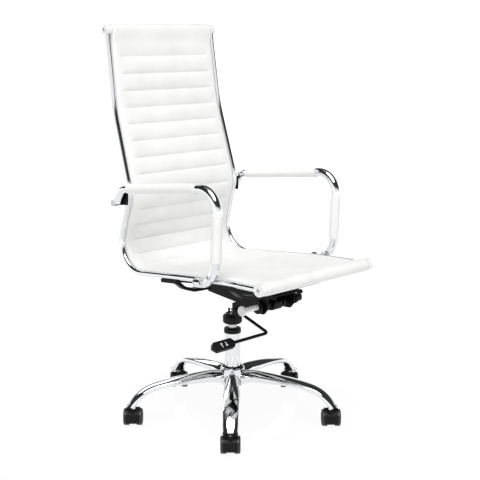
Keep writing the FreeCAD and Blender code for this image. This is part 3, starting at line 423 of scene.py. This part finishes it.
def sling_rows():
    """The rail line, the lengths along it where the cover has a row of points, and the seams' lengths."""
    setting = sizes()
    path = rounded_line(RAIL_CORNERS, RAIL_BENDS, 1.0)
    total = path[1][-1]
    plain_step, rib_rows, head_rows = 9, 9, 16
    first = total - setting.head_panel / MM
    seams = (first - np.arange(setting.rib_count) * setting.rib_pitch / MM)[::-1]
    plain = np.linspace(0, seams[0], int(seams[0] / plain_step) + 1)[:-1]
    share = (1 - np.cos(np.linspace(0, math.pi, rib_rows + 1)[:-1])) / 2
    ribs = (seams[:-1, None] + share[None, :] * setting.rib_pitch / MM).reshape(-1)
    head = np.linspace(first, total, head_rows)
    return path, np.concatenate([plain, ribs, head]), seams


def rib_offset(where, seams, side, half_width):
    """Extra thickness at a point: ribs puff by a sine's 0.6 power and seams draw in by a narrow bell, inside
    the borders; the borders are plain and fall to nothing at the side edges."""
    setting = sizes()
    head_fade, seat_fade, border_fade, edge_fade = 30, 60, 9, 26
    share = (where - seams[0]) / (setting.rib_pitch / MM)
    puff = np.abs(np.sin(math.pi * share)) ** 0.6
    puff = np.where(where > seams[-1], smooth((where - seams[-1]) / head_fade) * PLAIN_SHARE, puff)
    puff = np.where(where < seams[0], smooth((seams[0] - where) / seat_fade) * PLAIN_SHARE, puff)
    seam = np.exp(-(seam_distance(where, seams) / SEAM_HALF_WIDTH) ** 2)
    from_edge = half_width - np.abs(side)
    window = smooth((from_edge - setting.border / MM) / border_fade + 0.5)
    ribbed = puff[:, None] * setting.puff / MM - seam[:, None] * setting.seam_depth / MM
    plain = PLAIN_SHARE * setting.puff / MM
    return (ribbed * window + plain * (1 - window)) * smooth(from_edge / edge_fade)


def seam_distance(where, seams):
    """Distance from each length to the nearest seam."""
    return np.min(np.abs(where[:, None] - seams[None, :]), axis=1)


def cover_loop(path, rows):
    """The cover's closed outline seen from the side, as centre, outward direction, offset, length along
    the rails and calmness. It is the upper face, a half circle round the top rod, the lower face and a half
    circle round the front rod. Calmness is 1 on the faces and 0 round the rolls."""
    total = path[1][-1]
    upper_fade, lower_fade = 42, 30
    place, heading = along(*path, rows)
    normal = np.stack([-heading[:, 1], heading[:, 0]], -1)
    near_front, near_top = smooth(1 - rows / upper_fade), smooth(1 - (total - rows) / upper_fade)
    under_front, under_top = smooth(1 - rows / lower_fade), smooth(1 - (total - rows) / lower_fade)
    upper = UPPER_FACE + (FRONT_ROLL - UPPER_FACE) * near_front + (TOP_ROLL - UPPER_FACE) * near_top
    lower = LOWER_FACE + (FRONT_ROLL - LOWER_FACE) * under_front + (TOP_ROLL - LOWER_FACE) * under_top
    calm = (1 - near_front) * (1 - near_top)
    angle = np.linspace(0, math.pi, 15)[1:-1]
    turns = len(angle)
    top_ring = np.cos(angle)[:, None] * normal[-1] + np.sin(angle)[:, None] * heading[-1]
    front_ring = -np.cos(angle)[:, None] * normal[0] - np.sin(angle)[:, None] * heading[0]
    front, top = np.repeat(place[:1], turns, 0), np.repeat(place[-1:], turns, 0)
    centre = np.concatenate([place, top, place[::-1], front])
    outward = np.concatenate([normal, top_ring, -normal[::-1], front_ring])
    offset = np.concatenate([upper, np.full(turns, TOP_ROLL), lower[::-1], np.full(turns, FRONT_ROLL)])
    where = np.concatenate([rows, np.full(turns, total), rows[::-1], np.zeros(turns)])
    quiet = np.concatenate([calm, np.zeros(turns), calm[::-1], np.zeros(turns)])
    return centre, outward, offset, where, quiet


def sling_surface():
    """The cover's loop carried across the seat. A point is centre + (offset + ribs) * fall * outward; the
    fall is 1 over the width and follows a quarter ellipse to nothing at each side edge, where both faces
    meet. Returns the points in metres and which of them the seams, rolls and edges hold still."""
    path, rows, seams = sling_rows()
    centre, outward, offset, where, quiet = cover_loop(path, rows)
    edge_round, roll_round, held_edge = 9.0, 4.0, 12
    flat = np.linspace(-1, 1, 53)
    bend = np.linspace(0, math.pi / 2, 6)[1:]
    half_width = rail_half_spacing(centre[:, 1]) - RAIL_GAP
    edge = edge_round - (edge_round - roll_round) * (1 - quiet)
    inner = half_width - edge
    rounded = inner[:, None] + edge[:, None] * np.sin(bend)
    across = np.concatenate([-rounded[:, ::-1], inner[:, None] * flat, rounded], axis=1)
    fall = np.concatenate([np.cos(bend[::-1]), np.ones(len(flat)), np.cos(bend)])
    extra = rib_offset(where, seams, across, half_width[:, None]) * quiet[:, None]
    reach = (offset[:, None] + extra) * fall[None, :]
    points = np.empty((*across.shape, 3))
    points[..., 0] = across
    points[..., 1:] = centre[:, None, :] + reach[..., None] * outward[:, None, :]
    from_edge = half_width[:, None] - np.abs(across)
    sewn = (seam_distance(where, seams) < 0.5)[:, None] & (from_edge > sizes().border / MM)
    held = sewn | (quiet < 0.98)[:, None] | (from_edge < held_edge)
    return points * MM, held


def inflate(piece, held, cap):
    """Cloth simulation: air pressure swells the cover between its sewn rows, and each point may move
    no further than `cap`; points that are held stay where they are."""
    mesh = piece.data
    rest = vertex_places(mesh)
    pins = piece.vertex_groups.new(name="sewn")
    pins.add(np.flatnonzero(held).tolist(), 1.0, "REPLACE")
    cloth = piece.modifiers.new("Cloth", "CLOTH")
    setting = cloth.settings
    setting.vertex_group_mass = "sewn"
    setting.quality = 4
    setting.mass = 0.3
    setting.tension_stiffness = 30
    setting.compression_stiffness = 30
    setting.shear_stiffness = 12
    setting.bending_stiffness = 1.5
    setting.use_pressure = True
    setting.uniform_pressure_force = 4
    setting.effector_weights.gravity = 0
    scene = bpy.context.scene
    for number in range(1, CLOTH_FRAMES + 1):
        scene.frame_set(number)
    shown = piece.evaluated_get(bpy.context.evaluated_depsgraph_get())
    move = vertex_places(shown.data) - rest
    reach = np.linalg.norm(move, axis=1)[:, None]
    move *= np.minimum(1, cap / np.maximum(reach, 1e-9))
    piece.modifiers.remove(cloth)
    piece.vertex_groups.remove(pins)
    mesh.vertices.foreach_set("co", (rest + move).reshape(-1))
    mesh.update()
    scene.frame_set(1)


def vertex_places(mesh):
    """A mesh's vertices as an array of points."""
    places = np.empty(len(mesh.vertices) * 3)
    mesh.vertices.foreach_get("co", places)
    return places.reshape(-1, 3)


def nearest_flags(piece, points, flags):
    """Carries flags from grid points to the welded mesh's vertices by place."""
    tree = kdtree.KDTree(len(points))
    for index, point in enumerate(points):
        tree.insert(point, index)
    tree.balance()
    found = [tree.find(vertex.co)[1] for vertex in piece.data.vertices]
    return flags[found]


class CHAIR_OT_sling(bpy.types.Operator):
    """Sew and inflate the ribbed sling"""

    bl_idname = "chair.sling"
    bl_label = "Sling"

    def execute(self, context):
        points, held = sling_surface()
        faces = grid_faces(*points.shape[:2], wrap_rows=True)
        sling = new_piece("sling_cover", points, faces, finish(coated_leather_cloth))
        flags = nearest_flags(sling, points.reshape(-1, 3), held.reshape(-1))
        inflate(sling, flags, SWELL_LIMIT * MM)
        subdivision = sling.modifiers.new("Subdivision", "SUBSURF")
        subdivision.levels = subdivision.render_levels = 1
        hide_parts("sling")
        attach(sling, "seat")
        return {"FINISHED"}


def bead(length, thickness):
    """One stitch, lying along x: a spindle whose radius is half the thickness times the root of 1 - u^2."""
    rings, count = 6, 8
    u = np.linspace(-1, 1, rings)
    angle = np.linspace(0, 2 * math.pi, count, endpoint=False)
    radius = thickness / 2 * np.sqrt(np.clip(1 - u ** 2, 0, 1))
    points = np.empty((rings, count, 3))
    points[..., 0] = (u * length / 2)[:, None]
    points[..., 1] = radius[:, None] * np.cos(angle)
    points[..., 2] = radius[:, None] * np.sin(angle)
    return points.reshape(-1, 3), grid_faces(rings, count, wrap_columns=True)


def copies(shape, places):
    """Many copies of one shape, each moved to its place, as whole arrays."""
    points, faces = shape
    moved = places[:, None, :] + points
    shifted = faces[None] + (np.arange(len(places)) * len(points))[:, None, None]
    return moved.reshape(-1, 3), shifted.reshape(-1, faces.shape[1])


class CHAIR_OT_stitches(bpy.types.Operator):
    """Lay the stitches of every seam, on both faces of the sling"""

    bl_idname = "chair.stitches"
    bl_label = "Stitches"

    def execute(self, context):
        setting = sizes()
        stitch_length, stitch_thickness, stitch_rise, end_gap = 3.1, 0.9, 0.7, 1.0
        path, _, seams = sling_rows()
        place, heading = along(*path, seams)
        normal = np.stack([-heading[:, 1], heading[:, 0]], -1)
        pitch = setting.stitch_pitch / MM
        pieces = []
        for face, offset in ((1, UPPER_FACE), (-1, LOWER_FACE)):
            lift = offset - setting.seam_depth / MM + stitch_rise
            for row in range(len(seams)):
                half = rail_half_spacing(place[row, 1]) - RAIL_GAP - setting.border / MM - end_gap
                count = int(2 * half / pitch)
                middle = np.empty((count, 3))
                middle[:, 0] = (np.arange(count) - (count - 1) / 2) * pitch
                middle[:, 1:] = place[row] + face * lift * normal[row]
                pieces.append(copies(bead(stitch_length * MM, stitch_thickness * MM), middle * MM))
        points, faces = stack(pieces)
        stitches = new_piece("sling_stitches", points, faces, finish(sewing_thread), weld=1e-7)
        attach(stitches, "seat")
        return {"FINISHED"}


# ---------------------------------------------------------------- arms

def sleeve_surface(side, run, share):
    """A leather sleeve on a straight run of the arm: its radius is drawn in by a hem near each end, turns in
    round a quarter circle at the ends and comes back along the tube, so that the wall is closed."""
    start, end = ARM_CORNERS[run], ARM_CORNERS[run + 1]
    low, high = start + (end - start) * share[0], start + (end - start) * share[1]
    length = np.linalg.norm(high - low)
    heading = (high - low) / length
    lip, least = 1.8, SLEEVE_BORE + 0.15
    hem_depth, hem_place, hem_width = 0.45, 9, 1.3
    seam_depth, seam_angle, seam_width = 0.5, 1.5 * math.pi, 0.05
    turn = np.linspace(0, math.pi / 2, 6)
    body = np.linspace(lip, length - lip, 90)
    along_run = np.concatenate([lip - lip * np.cos(turn[:-1]), body, length - lip + lip * np.sin(turn[1:])])
    inward = [lip * (np.sin(turn[:-1]) - 1), np.zeros(len(body)), lip * (np.cos(turn[1:]) - 1)]
    hem = sum(np.exp(-((along_run - place) / hem_width) ** 2) for place in (hem_place, length - hem_place))
    angle = np.linspace(0, 2 * math.pi, 56, endpoint=False)
    wave = 0.12 * np.sin(along_run[:, None] / 17 + 2 * angle) * np.sin(along_run[:, None] / 41 + angle)
    seam = seam_depth * np.exp(-((angle - seam_angle) / seam_width) ** 2)
    reach = SLEEVE_RADIUS + (np.concatenate(inward) - hem_depth * hem)[:, None] + wave - seam[None, :]
    reach = np.concatenate([np.maximum(reach, least), np.full((2, len(angle)), SLEEVE_BORE)])
    along_run = np.concatenate([along_run, [length, 0.0]])
    normal = np.array([-heading[1], heading[0]])
    points = np.empty((len(along_run), len(angle), 3))
    points[..., 0] = side * ARM_X + reach * np.cos(angle)
    centre = low + along_run[:, None] * heading
    points[..., 1:] = centre[:, None, :] + (reach * np.sin(angle))[..., None] * normal
    return points * MM, grid_faces(*points.shape[:2], wrap_rows=True, wrap_columns=True)


class CHAIR_OT_sleeves(bpy.types.Operator):
    """Dress the four leather sleeves of the arms"""

    bl_idname = "chair.sleeves"
    bl_label = "Arm sleeves"

    def execute(self, context):
        for side, label in ((-1, "right"), (1, "left")):
            for run, share, name in ((1, (0.24, 0.735), "front"), (2, (0.20, 0.925), "rest")):
                points, faces = sleeve_surface(side, run, share)
                sleeve = new_piece(f"arm_{name}_sleeve_{label}", points, faces, finish(coated_leather_cloth))
                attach(sleeve, "seat")
                if name == "front":
                    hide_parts(f"arm_sleeves_{label}")
        return {"FINISHED"}


# ---------------------------------------------------------------- small parts

def plate_of(outline, thickness):
    """A flat outline carried straight up by its thickness, closed at both ends by fans about its middle."""
    outline = np.array(outline, float)
    middle = np.repeat(outline.mean(axis=0)[None], len(outline), 0)
    points = np.empty((4, len(outline), 3))
    points[..., :2] = [middle, outline, outline, middle]
    points[..., 2] = np.array([0, 0, thickness, thickness])[:, None]
    return points.reshape(-1, 3), grid_faces(*points.shape[:2], wrap_columns=True)


def arrow_outline(length, head, stem):
    """A pointed arrow along +y from the origin: a stem and a triangular head."""
    return [(-stem, 0), (stem, 0), (stem, length - head), (head, length - head), (0, length),
            (-head, length - head), (-stem, length - head)]


class CHAIR_OT_marks(bpy.types.Operator):
    """Print the up and down arrows on the lever's paddle"""

    bl_idname = "chair.marks"
    bl_label = "Paddle arrows"

    def execute(self, context):
        low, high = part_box("height_lever_paddle")
        middle = np.array((low + high) / 2) / MM
        slope, rise = math.radians(42), 6.02
        length, head, stem, thickness = 15, 5, 1.6, 0.25
        turn = np.array([[1, 0, 0], [0, math.cos(slope), -math.sin(slope)],
                         [0, math.sin(slope), math.cos(slope)]])
        shapes = []
        for place, sign in ((-9.0, 1), (9.0, -1)):
            points, faces = plate_of(arrow_outline(length, head, stem), thickness)
            points[:, 1] = sign * (points[:, 1] - length / 2)
            points += (place, 0, rise)
            shapes.append(((points @ turn.T + middle) * MM, faces))
        points, faces = stack(shapes)
        marks = new_piece("paddle_arrows", points, faces, finish(white_nylon), weld=1e-7)
        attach(marks, "height_lever")
        return {"FINISHED"}


class CHAIR_OT_socket_shade(bpy.types.Operator):
    """Lay a thin black hexagon on every cap screw and arm bolt: painted shade standing in for its socket"""

    bl_idname = "chair.sockets"
    bl_label = "Painted socket shade"

    def execute(self, context):
        angle = np.linspace(0, 2 * math.pi, 6, endpoint=False)
        outline = np.stack([np.cos(angle), np.sin(angle)], -1) * SOCKET_WIDTH / 2 * MM
        shapes = []
        for place in self.heads():
            # Each socket is a black hexagon 0.12 mm thick laid on the head's face: painted shade, with no
            # recess cut.
            points, faces = plate_of(outline, 0.12 * MM)
            outward = (math.copysign(1, place[0]), 1, 1)
            shapes.append((points[:, [2, 0, 1]] * outward + place, faces))
        points, faces = stack(shapes)
        sockets = new_piece("screw_socket_painted_shade", points, faces, finish(powder_coat), weld=1e-7)
        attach(sockets, "seat")
        return {"FINISHED"}

    @staticmethod
    def heads():
        """Middle of each screw head's outer face, in metres."""
        bolt_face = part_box("arm_bolts")[1].x
        found = []
        for side in (-1, 1):
            for rear, height in (RAIL_CORNERS[-1], RAIL_CORNERS[0]):
                face = rail_half_spacing(height) + CAP_SCREW_REACH
                found.append(np.array((side * face, rear, height)) * MM)
            for rear, height in ARM_BOLTS:
                found.append(np.array((side * bolt_face, rear * MM, height * MM)))
        return found


# ---------------------------------------------------------------- studio

def look_direction():
    """Unit direction of the camera's look: the rear axis turned by the heading, then tipped down."""
    level, down = math.cos(CAMERA_TIP), math.sin(CAMERA_TIP)
    return Vector((-math.sin(CAMERA_HEADING) * level, math.cos(CAMERA_HEADING) * level, -down))


def softbox(name, place, target, size, power):
    """A rectangular area light at a place, aimed at a target."""
    light = bpy.data.lights.new(name, "AREA")
    light.shape = "RECTANGLE"
    light.size, light.size_y = size
    light.energy = power
    lamp = bpy.data.objects.new(name, light)
    lamp.location = place
    lamp.rotation_euler = (Vector(target) - Vector(place)).to_track_quat("-Z", "Y").to_euler()
    bpy.context.scene.collection.objects.link(lamp)


def overcast(direction, strength, spread_degrees):
    """A broad even light from a direction, as from a lit ceiling."""
    light = bpy.data.lights.new("ceiling", "SUN")
    light.energy = strength
    light.angle = math.radians(spread_degrees)
    lamp = bpy.data.objects.new("ceiling", light)
    lamp.rotation_euler = (-Vector(direction)).to_track_quat("-Z", "Y").to_euler()
    bpy.context.scene.collection.objects.link(lamp)


def studio_sky():
    """A room with low pale walls, dark upper walls and a grey ceiling, by the height of a direction."""
    world = bpy.data.worlds.new("studio_room")
    bpy.context.scene.world = world
    world.use_nodes = True
    tree = world.node_tree
    tree.nodes.clear()
    ray = add_node(tree, "ShaderNodeTexCoord").outputs["Generated"]
    height = add_node(tree, "ShaderNodeSeparateXYZ", links={"Vector": ray}).outputs["Z"]
    ramp = add_node(tree, "ShaderNodeValToRGB", links={"Fac": height})
    stops = [(0.0, 1.05), (0.22, 1.0), (0.34, 0.05), (0.85, 0.03), (1.0, 0.40)]
    while len(ramp.color_ramp.elements) < len(stops):
        ramp.color_ramp.elements.new(0.5)
    for element, (position, grey) in zip(ramp.color_ramp.elements, stops):
        element.position = position
        element.color = (grey, grey, grey, 1)
    # Two dark curtains stand to the left and right of the camera and draw the dark edges on the chrome.
    side = add_node(tree, "ShaderNodeVectorMath", {"operation": "DOT_PRODUCT"}, {0: ray})
    side.inputs[1].default_value = (0.713, -0.701, 0.0)
    reach = add_node(tree, "ShaderNodeMath", {"operation": "ABSOLUTE"}, {0: side.outputs["Value"]})
    curtain = add_node(tree, "ShaderNodeValToRGB", links={"Fac": reach.outputs["Value"]})
    for element, (position, grey) in zip(curtain.color_ramp.elements, [(0.84, 1.0), (0.93, 0.06)]):
        element.position = position
        element.color = (grey, grey, grey, 1)
    both = add_node(tree, "ShaderNodeMix", {"data_type": "RGBA", "blend_type": "MULTIPLY"})
    # They start a little above the horizon, so that the room's low wall stays pale all round.
    above = add_node(tree, "ShaderNodeMapRange", {"From Min": 0.10, "From Max": 0.16}, {"Value": height})
    tree.links.new(above.outputs["Result"], both.inputs[0])
    tree.links.new(ramp.outputs["Color"], both.inputs[6])
    tree.links.new(curtain.outputs["Color"], both.inputs[7])
    glow = add_node(tree, "ShaderNodeBackground", {"Strength": 1.0}, {"Color": both.outputs[2]})
    add_node(tree, "ShaderNodeOutputWorld", links={"Surface": glow.outputs["Background"]})


class CHAIR_OT_stage(bpy.types.Operator):
    """Set the pale floor, the soft lights and the camera"""

    bl_idname = "chair.stage"
    bl_label = "Studio"

    def execute(self, context):
        scene = context.scene
        # A polished acrylic sheet lit from below: it glows evenly and mirrors the casters faintly.
        floor_material, tree, shader, place = new_material("studio_floor", {
            "Base Color": colour("floor"), "IOR": 1.2,
            "Emission Color": (1.0, 1.0, 1.0, 1.0), "Emission Strength": 0.93})
        tree.links.new(spread(tree, grain(tree, place, 180, 2), 0.04, 0.08), shader.inputs["Roughness"])
        half = 120.0
        points = np.array([(-half, -half, 0), (half, -half, 0), (half, half, 0), (-half, half, 0)])
        floor = new_piece("studio_floor", points, np.array([[0, 1, 2, 3]]), floor_material)
        softbox("key", (-1.2, -1.6, 3.4), (0, 0, 0.7), (1.6, 1.6), 28)
        softbox("back", (0.6, 3.0, 2.2), (0, 0, 0.6), (2.4, 1.0), 16)
        overcast((-0.30, -0.30, 0.90), 2.6, 50)
        studio_sky()
        lens = bpy.data.cameras.new("camera")
        lens.lens = CAMERA_LENS
        lens.sensor_width = 36
        camera = bpy.data.objects.new("camera", lens)
        camera.location = CAMERA_PLACE
        camera.rotation_euler = look_direction().to_track_quat("-Z", "Y").to_euler()
        scene.collection.objects.link(camera)
        scene.camera = camera
        scene.view_settings.view_transform = "Standard"
        scene.view_settings.look = "None"
        return {"FINISHED"}


class CHAIR_OT_finishes(bpy.types.Operator):
    """Give every piece of the frame its finish"""

    bl_idname = "chair.finishes"
    bl_label = "Frame finishes"

    def execute(self, context):
        slots = {item["node"]: item["material_slot"] for item in frame["record"]["subparts"]}
        for node, item in frame["nodes"].items():
            material = finish(FINISHES[slots[node]])
            if not item.material_slots:
                item.data.materials.append(material)
            for entry in item.material_slots:
                entry.material = material
        return {"FINISHED"}


class CHAIR_PT_panel(bpy.types.Panel):
    """Lists the chair's pieces"""
    # Shows the chair's sizes and colours, and a button for each step that builds it

    bl_idname = "CHAIR_PT_panel"
    bl_label = "Swivel office chair"
    bl_space_type = "VIEW_3D"
    bl_region_type = "UI"
    bl_category = "Chair"

    def draw(self, context):
        for group in (context.scene.chair_sizes, context.scene.chair_colours):
            for name in group.__annotations__:
                self.layout.prop(group, name)
        for operator in OPERATORS:
            self.layout.operator(operator.bl_idname)


OPERATORS = [CHAIR_OT_finishes, CHAIR_OT_sling, CHAIR_OT_stitches, CHAIR_OT_sleeves, CHAIR_OT_marks,
             CHAIR_OT_socket_shade, CHAIR_OT_stage]
CLASSES = [ChairSizes, ChairColours, *OPERATORS, CHAIR_PT_panel]


def register():
    """Registers the classes and hangs the settings on the scene."""
    for item in CLASSES:
        bpy.utils.register_class(item)
    bpy.types.Scene.chair_sizes = bpy.props.PointerProperty(type=ChairSizes)
    bpy.types.Scene.chair_colours = bpy.props.PointerProperty(type=ChairColours)


def unregister():
    """Takes the settings and classes away."""
    del bpy.types.Scene.chair_colours
    del bpy.types.Scene.chair_sizes
    for item in reversed(CLASSES):
        bpy.utils.unregister_class(item)


def run(operator):
    """Calls one operator and raises if it didn't finish."""
    group, name = operator.bl_idname.split(".")
    if getattr(getattr(bpy.ops, group), name)() != {"FINISHED"}:
        raise RuntimeError(f"{operator.bl_label} did not finish")


def main():
    """Builds every piece in order."""
    register()
    for operator in OPERATORS:
        run(operator)
    bpy.context.view_layer.update()


def plain(box):
    """A box of two corners as plain lists."""
    return [[float(value) for value in corner] for corner in box]


if __name__ == "__main__":
    main()
